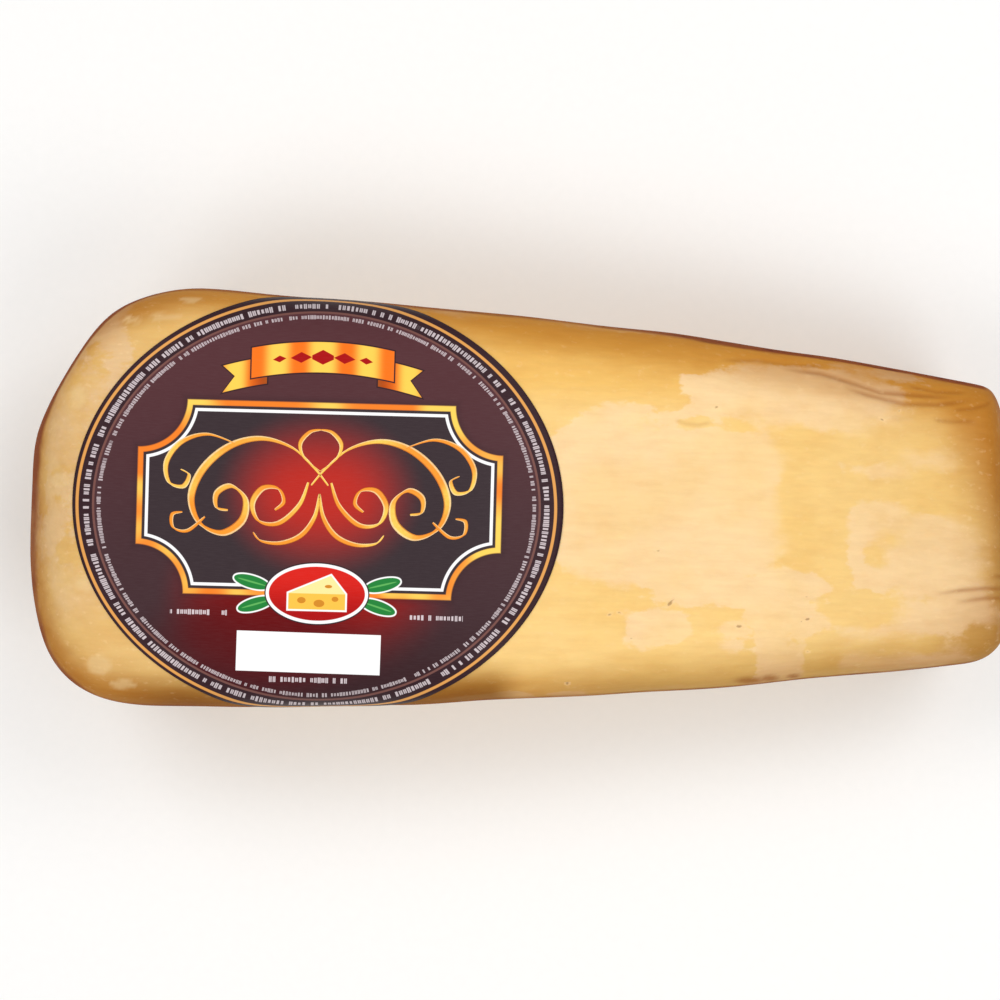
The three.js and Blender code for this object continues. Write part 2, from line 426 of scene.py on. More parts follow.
finer_mesh_from = 0.05


def distance_to_line(x, y, line):
    """Distance in the plane from points to a line of straight steps, and how far along it is."""
    nearest = np.full(len(x), 1e9)
    share = np.zeros(len(x))
    for step, ((ax, ay), (bx, by)) in enumerate(zip(line, line[1:])):
        dx, dy = bx - ax, by - ay
        along = np.clip(((x - ax) * dx + (y - ay) * dy) / (dx * dx + dy * dy), 0, 1)
        away = np.hypot(x - ax - along * dx, y - ay - along * dy)
        closer = away < nearest
        nearest = np.where(closer, away, nearest)
        share = np.where(closer, (step + along) / (len(line) - 1), share)
    return nearest, share


def faults(places):
    """How deep the small faults are at each place, how dark the nicks are, and how dark the creases and
    burnt spots are.
    """
    x, y, z = places.T
    upper = smooth(z, faults_start, faults_full)
    depth, nick_mark, burns_and_dark_creases = np.zeros((3, len(x)))
    for (at_x, at_y), size, deep, slant in nicks:
        turn = math.radians(slant)
        along = (x - at_x) * math.cos(turn) + (y - at_y) * math.sin(turn)
        across = (y - at_y) * math.cos(turn) - (x - at_x) * math.sin(turn)
        away = np.hypot(along, across / nick_narrowness) / size
        depth += deep * np.exp(-away ** 2)
        nick_mark = np.maximum(nick_mark, np.exp(-away ** 2) * min(1.0, least_nick_mark + deep))
    for line, size, deep in creases:
        away, share = distance_to_line(x, y, line)
        if line[-1][0] > crease_ends["runs_off_past"]:
            fade = np.clip(share * crease_ends["fade_in"], 0, 1)
        else:
            fade = np.clip(np.sin(math.pi * share) * crease_ends["fade_both"], 0, 1)
        depth += deep * fade * np.exp(-(away / size) ** 2)
        crease_darkness = min(crease_darkening["most"], crease_darkening["per_depth"] * deep)
        burns_and_dark_creases = np.maximum(burns_and_dark_creases, crease_darkness * fade * np.exp(-(away / size / crease_darkening["width"]) ** 2))
    for (at_x, at_y), (half_long, half_wide) in burnt_spots:
        away = np.hypot((x - at_x) / half_long, (y - at_y) / half_wide)
        burns_and_dark_creases = np.maximum(burns_and_dark_creases, np.exp(-away ** 4))
    return depth * upper, nick_mark * upper, burns_and_dark_creases * upper


bm = bmesh.new()
bmesh.ops.create_uvsphere(
    bm,
    u_segments=loaf_sectors,
    v_segments=loaf_rings,
    radius=1,
    matrix=Matrix.Rotation(math.radians(90), 4, "Y"),
)
faulty = faults(loaf_places(bm))[0] > finer_mesh_from
bmesh.ops.subdivide_edges(
    bm,
    edges=[edge for edge in bm.edges if faulty[edge.verts[0].index] or faulty[edge.verts[1].index]],
    cuts=1,
    use_grid_fill=True,
)
bmesh.ops.triangulate(bm, faces=[face for face in bm.faces if len(face.verts) > 4])
bm.verts.index_update()
places = loaf_places(bm)
loaf_x, loaf_y, loaf_z = places.T
fault_depth, nick_mark, fault_burns_and_dark_creases = faults(places)
move_points(bm, places)
bmesh.ops.recalc_face_normals(bm, faces=bm.faces)
bm.normal_update()
normals = np.array([v.normal for v in bm.verts])

dents = np.array([noise.noise(Vector(p) / dent["spacing"]) for p in places])
fine_places = places / (fine_dent["along"], fine_dent["across"], fine_dent["across"])
fine_dents = np.array([noise.noise(Vector(p)) for p in fine_places + (0, 0, fine_dent["shift"])])
depth = fault_depth + dent["depth"] * (0.5 + 0.5 * dents) + fine_dent["depth"] * (0.5 + 0.5 * fine_dents)
spot_share = np.zeros(len(places))
for (at_x, at_y), (half_long, half_wide), deep in stuck_spots:
    away = np.hypot((loaf_x - at_x) / half_long, (loaf_y - at_y) / half_wide)
    inside = (1 - smooth(away, *stuck_spot_edge)) * (loaf_z > stuck_spots_above)
    depth += deep * inside
    spot_share = np.maximum(spot_share, inside)
depth *= smooth(loaf_z, smooth_below, relief_above)
relief = places - normals * depth[:, None]

low, high = (np.array(corner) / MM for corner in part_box("cheese"))
smallest, largest = places.min(axis=0), places.max(axis=0)
fit = (high - low) / (largest - smallest)


def in_frame(points):
    """Millimetres on the loaf to metres in the frame."""
    return (low + (points - smallest) * fit) * MM


move_points(bm, in_frame(relief))

# Where the film stands off the top of the loaf and it looks pale, where it clings again, and
# where it does both by turns, in the order that they lie over each other: centre, half size.
film_patches = {
    "pale": (
        ((51, 5), (46, 34)), ((100, 42), (41, 12)), ((144, -14), (26, 16)), ((97, -32), (15, 13)),
        ((95, -46), (9, 15)), ((50, -43), (14, 6.5)), ((141, -37), (37, 7)), ((143, -53), (24, 7)),
        ((70, -28), (26, 6)), ((110, 16), (4, 3)), ((134, 16), (8, 3)), ((131, -1), (13, 8)),
        ((148, 20), (8, 3)), ((78, -42), (4.5, 2.5)), ((76, -48), (3, 1.5)), ((114, 56.5), (13, 3)),
        ((134, 52), (13, 3.4)), ((97, -57), (6, 2.6)), ((163, -29), (11, 7)),
    ),
    "mottled": (((-152, 10), (16, 54)),),
    "clinging": (
        ((106, 4), (13, 23)), ((130, -14.5), (4, 5)), ((134.5, -9), (5, 3.6)),
        ((124, -33), (16, 7.5)), ((131, -47), (29, 3.5)), ((112, -54), (7, 9)),
        ((172, -47), (8, 8)), ((27, -42), (11, 12)), ((34, 51), (19, 12)), ((52, 37), (4, 2)),
        ((61, 31.5), (7, 1)), ((78, 31), (6, 3)),
    ),
}
patch_squareness = 2.7
deepest = 7.0
steep_slope, level_slope = 0.3, 0.85
side_patches = 4.5
pale_depth = np.full(len(places), -deepest)
for kind, patches in film_patches.items():
    for (at_x, at_y), (half_long, half_wide) in patches:
        far_along = np.abs((loaf_x - at_x) / half_long)
        far_across = np.abs((loaf_y - at_y) / half_wide)
        away = (far_along ** patch_squareness + far_across ** patch_squareness) ** (1 / patch_squareness)
        inside = (1 - away) * min(half_long, half_wide)
        if kind == "clinging":
            pale_depth = np.minimum(pale_depth, -inside)
        else:
            pale_depth = np.maximum(pale_depth, inside if kind == "pale" else np.minimum(inside, 0))
pale_depth = np.clip(pale_depth, -deepest, deepest)
steepness = 1 - smooth(normals[:, 2], steep_slope, level_slope)
pale_depth = np.maximum(pale_depth, side_patches * steepness - deepest)

# The rind browns towards the loaf's outline as seen from above, further in towards the narrow
# end and more along the rear, and less again down the sides; this is partly the rind's own colour
# and partly painted shade where the shoulders turn away from the light. A dark band round its upper
# shoulder is partly burnt rind and partly painted shade, both ends are darkened with painted shade,
# and it is darker along the front edge where the label lies.
browning_and_shade_start, less_in_front, front_share = 2.0, 1.5, 0.82
browning_and_shade_end = {"along": (-150, -60, 20, 120), "reach": (17, 21, 25, 27)}
side_height = {"low": 0.2, "high": 0.8, "share_low": 0.5}
rim_slope = {"full": 0.18, "none": 0.42, "higher_on_wide_end": 0.2, "higher_at_narrow_rear": 0.17}
rim_height = {"low": 0.3, "high": 0.8, "streaks_low": 0.62}
rim_share = {"front": 0.7, "narrow_end": 0.4, "wide_part": 0.7}
narrow_part = {"start": 20, "end": 90}
wide_end_shade = {"start": 100, "end": 140, "amount": 0.43}
narrow_end_shade = {"along": (85, 130, 158, 180, 196), "amount": (0, 0.13, 0.2, 0.6, 1)}
front_darkening_span = {"along": (-152, -112, -10, 4), "inward": (4, 20), "height": (0.4, 0.8)}
end_face = (0.2, 0.6)
front_half = (-10, 10)
outline_step = 2.0


def outline_at(along, across):
    """The furthest that the loaf reaches across at each point's place along it."""
    cell = ((along - along.min()) / outline_step).astype(int)
    edge = np.full(cell.max() + 1, -1e9)
    np.maximum.at(edge, cell, across)
    cells = np.flatnonzero(edge > -1e9)
    return np.interp(along, along.min() + (cells + 0.5) * outline_step, edge[cells])


def room_to_outline(along, across):
    """How far each point is from the nearer of the two edges across it."""
    room = np.minimum(outline_at(along, across) - across, outline_at(along, -across) + across)
    return np.maximum(room, 0.01)


def lessened(share, least):
    """1 where the share is 0, and the least where it is 1."""
    return 1 - share * (1 - least)


to_side = room_to_outline(loaf_x, loaf_y)
to_end = room_to_outline(loaf_y, loaf_x)
inward = to_side * to_end / np.hypot(to_side, to_end)
in_front = smooth(-loaf_y, *front_half)
reach_in = np.interp(loaf_x, browning_and_shade_end["along"], browning_and_shade_end["reach"])
wide_end = smooth(-loaf_x, wide_end_shade["start"], wide_end_shade["end"])
outwards = in_front * less_in_front * (1 - 2 * wide_end)
# Darker towards the outline: partly the rind's own colour, partly painted shade where the shoulders turn
# away from the light.
browning_and_shade = 1 - smooth((inward + outwards - browning_and_shade_start) / (reach_in - browning_and_shade_start), 0, 1)
browning_and_shade *= lessened(in_front * (1 - wide_end), front_share)
endways, upward = normals[:, 0], normals[:, 2]
width_here = half_width(rear_side, loaf_x) + half_width(front_side, loaf_x)
height_share = loaf_z / (width_here * thickness_to_width)
low_down = 1 - smooth(height_share, side_height["low"], side_height["high"])
browning_and_shade *= lessened(low_down, side_height["share_low"])
facing_wide, facing_narrow = smooth(-endways, *end_face), smooth(endways, *end_face)
towards_narrow = smooth(loaf_x, narrow_part["start"], narrow_part["end"])
lowered = upward - facing_wide * rim_slope["higher_on_wide_end"]
lowered -= towards_narrow * (1 - in_front) * rim_slope["higher_at_narrow_rear"]
# A dark band round the upper shoulder: partly burnt rind, partly painted shade where the shoulder turns
# down away from the light.
rim_burn_and_shade = smooth(height_share, rim_height["low"], rim_height["high"])
rim_burn_and_shade *= 1 - smooth(lowered, rim_slope["full"], rim_slope["none"])
rim_burn_and_shade *= lessened(in_front, rim_share["front"])
rim_burn_and_shade *= lessened(facing_narrow, rim_share["narrow_end"])
rim_burn_and_shade *= lessened((1 - towards_narrow) * (1 - facing_wide), rim_share["wide_part"])
rim_streaks = rim_burn_and_shade * (1 - facing_wide) * (1 - facing_narrow)
rim_streaks *= smooth(height_share, rim_height["streaks_low"], rim_height["high"])
# Darker along the front edge where the label lies, on the upper part of the front side.
front_darkening = in_front * (1 - smooth(inward, *front_darkening_span["inward"]))
front_darkening *= smooth(loaf_x, *front_darkening_span["along"][:2])
front_darkening *= 1 - smooth(loaf_x, *front_darkening_span["along"][2:])
front_darkening *= smooth(height_share, *front_darkening_span["height"])
# Painted shade at both ends, where the loaf turns away from the light, and faintly over the narrow half.
end_shade = wide_end_shade["amount"] * wide_end
end_shade += np.interp(loaf_x, narrow_end_shade["along"], narrow_end_shade["amount"])

rind, tree, shader = new_material("rind")
wires = Wires(tree)
mark = wires.attribute
place = wires.object_place()
lengthwise = wires.stretched(place, (0.10, 1, 1))
cloud = wires.noise(place, 22.0, 4.0, 0.55)
drawn_out = wires.stretched(place, (0.6, 1, 1))
ragged = wires.noise(drawn_out, 95.0, 6.0, 0.62)
speck = wires.noise(drawn_out, 460.0, 3.0, 0.55)
mottle = wires.noise(wires.stretched(place, (0.5, 1, 1)), 150.0, 5.0, 0.6)
faint = wires.noise(wires.vector("ADD", place, (0.3, 0.7, 0.1)), 30.0, 3.0, 0.5)
streak = wires.noise(lengthwise, 420.0, 4.0, 0.6)
long_streak = wires.noise(lengthwise, 110.0, 3.0, 0.55, 0.4)
side_patch = wires.times(wires.minus(wires.noise(place, 21.0, 2.0), 0.47), 46.0)

edge = wires.scaled(mark("steepness"), side_patch, mark("pale_depth"))
edge = wires.plus(edge, wires.waver(ragged, 11.0))
edge = wires.plus(edge, wires.waver(speck, 3.0))
softness = wires.step(wires.noise(place, 26.0, 2.0), 0.42, 0.62, 0.7, 3.6)
pale = wires.step(edge, wires.times(softness, -1.0), softness)

ochre_light, ochre_mid, ochre_deep = colour(245, 207, 134), colour(242, 201, 124), colour(238, 190, 103)
cream_light, cream_grey = colour(247, 214, 162), colour(244, 210, 160)
amber, olive_amber, toasted_and_shaded_cream = colour(200, 137, 54), colour(196, 148, 75), colour(208, 162, 112)
streak_tint, mottle_tint = colour(150, 96, 46), colour(226, 178, 112)
rim_burn_and_shade_colour, red_brown = colour(130, 56, 12), colour(92, 20, 6)
burn_and_crease_colour, nick_brown = colour(150, 84, 26), colour(140, 96, 52)
spot_cream = colour(232, 200, 146)
end_shade_tint, front_darkening_tint = (0.60, 0.48, 0.42, 1.0), (0.42, 0.30, 0.12, 1.0)

along, across = wires.split(place)[:2]
ochre = wires.blend(wires.step(cloud, 0.38, 0.68), ochre_light, ochre_mid)
deep_share = wires.times(wires.step(along, -0.06, 0.0), wires.step(across, 0.032, 0.048))
ochre = wires.blend(deep_share, ochre, ochre_deep)
cream = wires.blend(wires.step(cloud, 0.42, 0.72), cream_light, cream_grey)
toast_and_shade = wires.plus(mark("browning_and_shade"), wires.waver(long_streak, 0.4))
olive_share = wires.times(wires.step(along, -0.02, 0.05), wires.step(across, 0.03, -0.03))
toasted_and_shaded_ochre = wires.blend(olive_share, amber, olive_amber)
deeper = wires.step(along, 0.146, 0.158, 0.0, 0.23)
# Ochre and cream turn darker towards the outline: the rind's own colour and painted shade together.
ochre = wires.blend(wires.step(wires.plus(toast_and_shade, deeper), -0.05, 1.05), ochre, toasted_and_shaded_ochre)
cream = wires.blend(wires.step(toast_and_shade, -0.05, 1.05), cream, toasted_and_shaded_cream)
pale_share = wires.times(pale, wires.step(faint, 0.36, 0.6, 0.62, 0.94))
pale_share = wires.times(pale_share, wires.scaled(mark("steepness"), -0.45, 1.0))
wires.colours = wires.blend(pale_share, ochre, cream)
# Painted shade at both ends.
wires.coat(mark("end_shade"), end_shade_tint, "MULTIPLY")
wires.coat(wires.times(mark("front_darkening"), 0.9), front_darkening_tint, "MULTIPLY")
wires.coat(wires.times(mark("stuck_spot"), 0.5), spot_cream)
# The dark shoulder band, burnt rind and painted shade together, laid on in its own deep colour.
dark = wires.plus(mark("rim_burn_and_shade"), wires.waver(long_streak, 0.6))
wires.coat(wires.step(dark, 0.1, 0.9, 0.0, 0.94), rim_burn_and_shade_colour)
red_streak = wires.times(mark("rim_streaks"), wires.step(streak, 0.50, 0.66))
wires.coat(wires.times(red_streak, 0.85), red_brown)
# Burnt spots, and the creases, darker the deeper they are.
wires.coat(wires.times(mark("burns_and_dark_creases"), 0.7), burn_and_crease_colour)
nick_edge = wires.plus(mark("nick_mark"), wires.waver(speck, 0.8))
wires.coat(wires.step(mark("nick_mark"), 0.02, 0.3, 0.0, 0.4), cream_light)
wires.coat(wires.step(nick_edge, 0.3, 0.7, 0.0, 0.6), nick_brown)
wires.coat(wires.step(streak, 0.3, 0.7, 0.0, 0.07), streak_tint, "MULTIPLY")
wires.coat(wires.step(mottle, 0.42, 0.7, 0.0, 0.11), mottle_tint, "MULTIPLY")
flecks = wires.scaled(mark("browning_and_shade"), -0.7, 1.0)
flecks = wires.scaled(mark("end_shade"), 0.7, flecks)
flecks = wires.times(flecks, wires.scaled(mark("rim_burn_and_shade"), -0.85, 1.0))
wires.coat(wires.times(flecks, wires.step(speck, 0.58, 0.76, 0.0, 0.2)), cream_light)
wires.plug(wires.colours, shader.inputs["Base Color"])

wires.plug(wires.step(streak, 0.25, 0.75, 0.40, 0.56), shader.inputs["Roughness"])
set_finish(shader, {
    "Specular IOR Level": 0.0, "Subsurface Weight": 0.12, "Subsurface Radius": (1.0, 0.5, 0.2),
    "Subsurface Scale": 0.003, "Coat Weight": 0.1, "Coat Roughness": 0.24,
})
fine = wires.bump(streak, 0.00022, 0.35)
wires.plug(wires.bump(wires.noise(lengthwise, 150.0, 3.0), 0.0006, 0.35, fine), shader.inputs["Normal"])
wires.plug(wires.bump(long_streak, 0.0008, 0.4), shader.inputs["Coat Normal"])

loaf = piece_from(bm, "loaf", rind)
for name, values in (
    ("pale_depth", pale_depth), ("steepness", steepness), ("browning_and_shade", browning_and_shade),
    ("rim_burn_and_shade", rim_burn_and_shade), ("rim_streaks", rim_streaks), ("end_shade", end_shade), ("front_darkening", front_darkening),
    ("burns_and_dark_creases", fault_burns_and_dark_creases), ("nick_mark", nick_mark), ("stuck_spot", spot_share),
):
    loaf.data.attributes.new(name, "FLOAT", "POINT").data.foreach_set("value", values)
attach(loaf, "root")
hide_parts("cheese")

# ------------------------------------------------------------
# The label: an oval of coated paper, printed dark wine red with gold rings and a dark plaque,
# glued over the broad face of the loaf and bent down over its two long edges.
# ------------------------------------------------------------

label_centre = np.array([-71.5, -1.4])
label_half_size = np.array([86.2, 74.6])
label_face_height = 119
label_lift = 0.06
paper_thickness = 0.22
paper_rows = 140
side_stretch = 0.5
quarter_steps = 160
reach_step = 0.5
column_start, column_step = -176.0, 1.5
sheet_reach = (90, 80)
past_label, past_reach = 20, 4
laying_rounds = 4
eye = (np.array(camera_place) / MM - low[:2]) / fit[:2] + smallest[:2]
eye_height = camera_height / MM


def bend_table(columns, reach, side):
    """For each place along the loaf, the section angle at which paper laid over the face has
    gone each distance from the middle line: flat over the face, then down the side."""
    angles = math.pi / 2 - side * np.linspace(0, math.pi / 2, quarter_steps)
    rows = []
    for x in columns:
        points = loaf_surface(np.full(quarter_steps, x), angles)
        flat = side * points[:, 1] * (eye_height - label_face_height) / (eye_height - points[:, 2])
        run = np.linalg.norm(np.diff(points, axis=0), axis=1)
        gone = np.concatenate([[0], np.cumsum(np.maximum(np.diff(flat), side_stretch * run))])
        rows.append(np.interp(reach, gone, angles))
    return np.array(rows)


def lookup(table, row, column):
    """Values of a table between its rows and columns."""
    row = np.clip(row, 0, table.shape[0] - 1.001)
    column = np.clip(column, 0, table.shape[1] - 1.001)
    i, j = row.astype(int), column.astype(int)
    fi, fj = row - i, column - j
    if table.ndim == 3:
        fi, fj = fi[..., None], fj[..., None]
    return (
        table[i, j] * (1 - fi) * (1 - fj) + table[i + 1, j] * fi * (1 - fj)
        + table[i, j + 1] * (1 - fi) * fj + table[i + 1, j + 1] * fi * fj
    )


columns = np.arange(column_start, label_centre[0] + label_half_size[0] + past_label, column_step)
reach = np.arange(0, sheet_reach[1] + past_reach, reach_step)
front_bend = bend_table(columns, reach, -1)
rear_bend = bend_table(columns, reach, 1)

sheet_u, sheet_v = np.meshgrid(
    np.arange(-sheet_reach[0], sheet_reach[0] + 1.0),
    np.arange(-sheet_reach[1], sheet_reach[1] + 1.0),
    indexing="ij",
)
across = (sheet_v + label_centre[1]).ravel()
seen_x = (sheet_u + label_centre[0]).ravel() - eye[0]
x = seen_x + eye[0]
for _ in range(laying_rounds):
    row = (x - column_start) / column_step
    column = np.abs(across) / reach_step
    angle = np.where(across > 0, lookup(rear_bend, row, column), lookup(front_bend, row, column))
    sheet = loaf_surface(x, angle)
    x = eye[0] + seen_x * (eye_height - sheet[:, 2]) / (eye_height - label_face_height)
sheet = sheet.reshape(*sheet_u.shape, 3)
sheet_normal = np.cross(np.gradient(sheet, axis=0), np.gradient(sheet, axis=1))
sheet_normal /= np.maximum(np.linalg.norm(sheet_normal, axis=2, keepdims=True), 1e-9)


def on_label(u, v, lift):
    """Points in the frame from millimetres along, across and above the laid paper."""
    row, column = u + sheet_reach[0], v + sheet_reach[1]
    return in_frame(lookup(sheet, row, column) + lookup(sheet_normal, row, column) * lift[:, None])


bm = bmesh.new()
bmesh.ops.create_grid(bm, x_segments=paper_rows, y_segments=paper_rows, size=1)
square_u, square_v = np.array([v.co for v in bm.verts])[:, :2].T
paper_u = square_u * np.sqrt(1 - square_v ** 2 / 2) * label_half_size[0]
paper_v = square_v * np.sqrt(1 - square_u ** 2 / 2) * label_half_size[1]
lift = np.full(len(paper_u), label_lift + paper_thickness)
move_points(bm, on_label(paper_u, paper_v, lift))

label_print, tree, shader = new_material("label_print")
wires = Wires(tree)
place = wires.attribute("print_place", "Vector")
u, v = wires.split(place)[:2]


def offset_from(centre, turn=0.0, on=place):
    """Where a place is from a centre, along and across a shape that may be turned."""
    offset = wires.vector("SUBTRACT", on, (*centre, 0))
    return wires.stretched(offset, (1, 1, 1), turn) if turn else offset


def oval(centre, half_size, turn=0.0, on=place):
    """Distance in millimetres outside an oval, negative inside it."""
    offset = offset_from(centre, turn, on)
    squares = (half_size[0] ** 2, half_size[1] ** 2, 1)
    once = wires.vector("LENGTH", wires.vector("DIVIDE", offset, (*half_size, 1)))
    twice = wires.vector("LENGTH", wires.vector("DIVIDE", offset, squares))
    return wires.maths("DIVIDE", wires.times(once, wires.minus(once, 1.0)), twice)


def inside_of(distance, margin=0.0, blur=0.12):
    return wires.step(distance, -margin - blur, -margin + blur, 1.0, 0.0)


def apart(a, b):
    return wires.maths("ABSOLUTE", wires.minus(a, b))


def line_at(distance, middle, width, blur=0.12):
    return wires.step(apart(distance, middle), width / 2 - blur, width / 2 + blur, 1.0, 0.0)


def widest(*distances):
    """Distance outside the shape that several shapes have in common."""
    out = distances[0]
    for distance in distances[1:]:
        out = wires.maths("MAXIMUM", out, distance)
    return out


def past_corner(centre, half_size, turn=0.0):
    """Where a place is from the nearest corner of a rectangle, along and across."""
    away = wires.vector("ABSOLUTE", offset_from(centre, turn))
    return wires.vector("SUBTRACT", away, (*half_size, 0))


def box(centre, half_size, turn=0.0):
    """Distance outside a rectangle."""
    return widest(*wires.split(past_corner(centre, half_size, turn))[:2])


def past_line(start, end):
    """Distance to the right of a line from one point to another."""
    run = math.hypot(end[0] - start[0], end[1] - start[1])
    right = ((end[1] - start[1]) / run, (start[0] - end[0]) / run, 0)
    return wires.vector("DOT_PRODUCT", wires.vector("SUBTRACT", place, (*start, 0)), right)


def polygon(*corners):
    """Distance outside a straight-sided shape whose corners run anticlockwise."""
    return widest(*(past_line(a, b) for a, b in zip(corners, corners[1:] + corners[:1])))


small_bar = {
    "pitch": 0.66, "half_wide": 0.25, "wider": 0.18, "half_tall": 0.33, "taller": 0.16, "blur": 0.05,
    "slit": (0.03, 0.11, 0.75, 0.0), "with_slit": (0.42, 0.46), "with_bar": (0.15, 0.16),
}


def small_print(along, across, height, seed):
    """A row of small bars, uneven and in groups, in place of print too small to read."""
    cell = wires.maths("DIVIDE", along, height * small_bar["pitch"])
    chance = wires.new("TexWhiteNoise")
    chance.noise_dimensions = "1D"
    chance = wires.feed(chance, {"W": wires.plus(wires.maths("FLOOR", cell), seed)})
    group, wide, tall = wires.split(chance["Color"])
    from_middle = apart(wires.maths("FRACT", cell), 0.5)
    half_wide = wires.scaled(wide, -small_bar["wider"], from_middle)
    half_tall = wires.scaled(tall, -height * small_bar["taller"], wires.maths("ABSOLUTE", across))
    bar = inside_of(half_wide, -small_bar["half_wide"], small_bar["blur"])
    line = inside_of(half_tall, -height * small_bar["half_tall"], height * small_bar["blur"])
    slit = wires.times(
        wires.step(from_middle, *small_bar["slit"]), wires.step(wide, *small_bar["with_slit"])
    )
    marks = wires.times(wires.minus(bar, slit), line)
    return wires.times(marks, wires.step(group, *small_bar["with_bar"]))


ring_middle = (-0.55, -0.3)
gold_ring, rust_ring = {"at": 84.0, "width": 1.05}, {"at": 78.4, "width": 0.8}
outer_row = {"at": 80.9, "height": 2.3, "seed": 31.0, "strength": 0.78}
inner_row = {"at": 76.5, "height": 1.7, "seed": 57.0, "strength": 0.66}
border_from = 78.0
in_rings = wires.vector("DIVIDE", offset_from(ring_middle), (*label_half_size, 1))
ring = wires.times(wires.vector("LENGTH", in_rings), float(label_half_size[0]))
ring_u, ring_v = wires.split(in_rings)[:2]
round_ring = wires.times(wires.maths("ARCTAN2", ring_v, ring_u), outer_row["at"])

wine, wine_top, ink = colour(66, 45, 49), colour(86, 50, 54), colour(54, 34, 39)
plaque_ink, low_ink, paper_grain = colour(58, 47, 51), colour(44, 14, 18), colour(235, 215, 220)
glow_red, deep_red, burgundy = colour(190, 44, 34), colour(146, 20, 16), colour(88, 8, 14)
gold, rust, cream_ink = colour(224, 158, 84), colour(118, 78, 72), colour(224, 210, 214)
orange, yellow, white = colour(240, 128, 40), colour(252, 208, 92), colour(250, 250, 250)

wires.colours = wires.blend(wires.step(v, -50.0, 70.0), wine, wine_top)
low_glow = wires.step(oval((-3, -30), (52, 34)), 2.0, -30.0)
wires.coat(wires.times(low_glow, 0.95), deep_red)
wires.coat(wires.step(v, -32.0, -56.0, 0.0, 0.4), low_ink)
wires.coat(wires.step(oval((-20, -46), (34, 22)), 8.0, -16.0, 0.0, 0.75), burgundy)

plaque_centre, plaque_half, notch = (0.4, 2.0), (64.0, 34.0), 17.0
from_corner = wires.vector("LENGTH", past_corner(plaque_centre, plaque_half))
plaque = widest(box(plaque_centre, plaque_half), wires.minus(notch, from_corner))
wires.coat(wires.times(wires.step(plaque, 3.0, -0.5), 0.45), ink)
outline_gold = wires.blend(wires.step(wires.noise(place, 0.045, 1.0), 0.42, 0.62), orange, yellow)
wires.coat(line_at(plaque, -0.9, 1.9, 0.3), outline_gold)
field = inside_of(plaque, 1.9)
wires.coat(field, plaque_ink)
mid_glow = wires.step(oval((0.4, 4), (36, 30)), 2.0, -26.0)
wires.coat(wires.times(wires.times(mid_glow, 0.92), field), glow_red)
wires.coat(line_at(plaque, -3.4, 1.05), white)

# A red medallion with a wedge of cheese on the plaque's lower edge, between two pairs of leaves.
medallion_centre, medallion_half = (0.4, -31.0), (18.0, 10.6)
medallion_red, medallion_shade = colour(214, 36, 28), colour(168, 16, 18)
leaf_green, leaf_vein = colour(36, 128, 58), colour(96, 176, 92)
wedge_front, wedge_top, hole_shade = colour(250, 192, 74), colour(255, 230, 156), colour(208, 136, 40)
leaf_half, vein_half = (6.4, 2.2), (5.0, 0.3)
from_middle_u = apart(u, plaque_centre[0])
mirrored = wires.feed(wires.new("CombineXYZ"), {0: from_middle_u, 1: v})[0]
for leaf_centre, leaf_turn in (((23.0, -27.4), -0.25), ((21.5, -35.2), 0.3)):
    leaf = oval(leaf_centre, leaf_half, leaf_turn, mirrored)
    wires.coat(inside_of(leaf, -0.5), white)
    wires.coat(inside_of(leaf), leaf_green)
    wires.coat(inside_of(oval(leaf_centre, vein_half, leaf_turn, mirrored)), leaf_vein)
medallion = oval(medallion_centre, medallion_half)
wires.coat(inside_of(medallion, -0.45), ink)
wires.coat(inside_of(medallion), white)
red_face = wires.blend(wires.step(v, -40.0, -24.0), medallion_shade, medallion_red)
wires.coat(inside_of(medallion, 1.1), red_face)
wedge_tip, wedge_heel, wedge_back = (-9.6, -31.0), (10.4, -31.0), (5.2, -24.6)
wedge_foot = -36.6
wedge_base = (wedge_tip[0], wedge_foot), (wedge_heel[0], wedge_foot)
outline = polygon(*wedge_base, wedge_heel, wedge_back, wedge_tip)
wires.coat(inside_of(outline, -0.6), white)
wires.coat(inside_of(outline), wedge_front)
wires.coat(inside_of(polygon(wedge_tip, wedge_heel, wedge_back)), wedge_top)
for hole_centre, hole_half in (
    ((-5.0, -33.4), (1.5, 1.1)), ((1.2, -34.4), (1.9, 1.3)), ((6.8, -32.8), (1.2, 0.9)),
    ((4.4, -28.4), (1.3, 0.6)),
):
    wires.coat(inside_of(oval(hole_centre, hole_half)), hole_shade)

# A satin ribbon with swallow tails over the plaque, with a row of lozenges on it.
ribbon_middle, ribbon_arch = 52.0, 0.0042
band_half = (25.0, 5.3)
tail = {"start": 19.5, "end": 35.0, "drop": 3.4, "half": 4.7, "notch": 4.2, "shade": 9.0}
ribbon_orange, ribbon_yellow, ribbon_fold = colour(246, 116, 28), colour(255, 206, 84), colour(150, 50, 14)
lozenges = {"spacing": 7.6, "last": 2.0, "largest": 2.6, "less_each": 0.7, "flatness": 0.5}
above = wires.times(from_middle_u, from_middle_u)
above = wires.scaled(above, ribbon_arch, wires.minus(v, ribbon_middle))
to_band_middle = wires.maths("ABSOLUTE", above)
satin = wires.step(wires.maths("SINE", wires.scaled(from_middle_u, 0.42, 1.2)), -1.0, 1.0)
satin = wires.blend(satin, ribbon_orange, ribbon_yellow)
tail_above = apart(above, -tail["drop"])
tail_cut = wires.scaled(tail_above, -tail["notch"] / tail["half"], tail["notch"])
tails = widest(
    wires.minus(tail_above, tail["half"]),
    wires.minus(wires.plus(from_middle_u, tail_cut), tail["end"]),
    wires.minus(tail["start"], from_middle_u),
)
band = widest(wires.minus(to_band_middle, band_half[1]), wires.minus(from_middle_u, band_half[0]))
tail_shade = wires.step(from_middle_u, tail["start"], tail["start"] + tail["shade"], 0.85, 0.0)
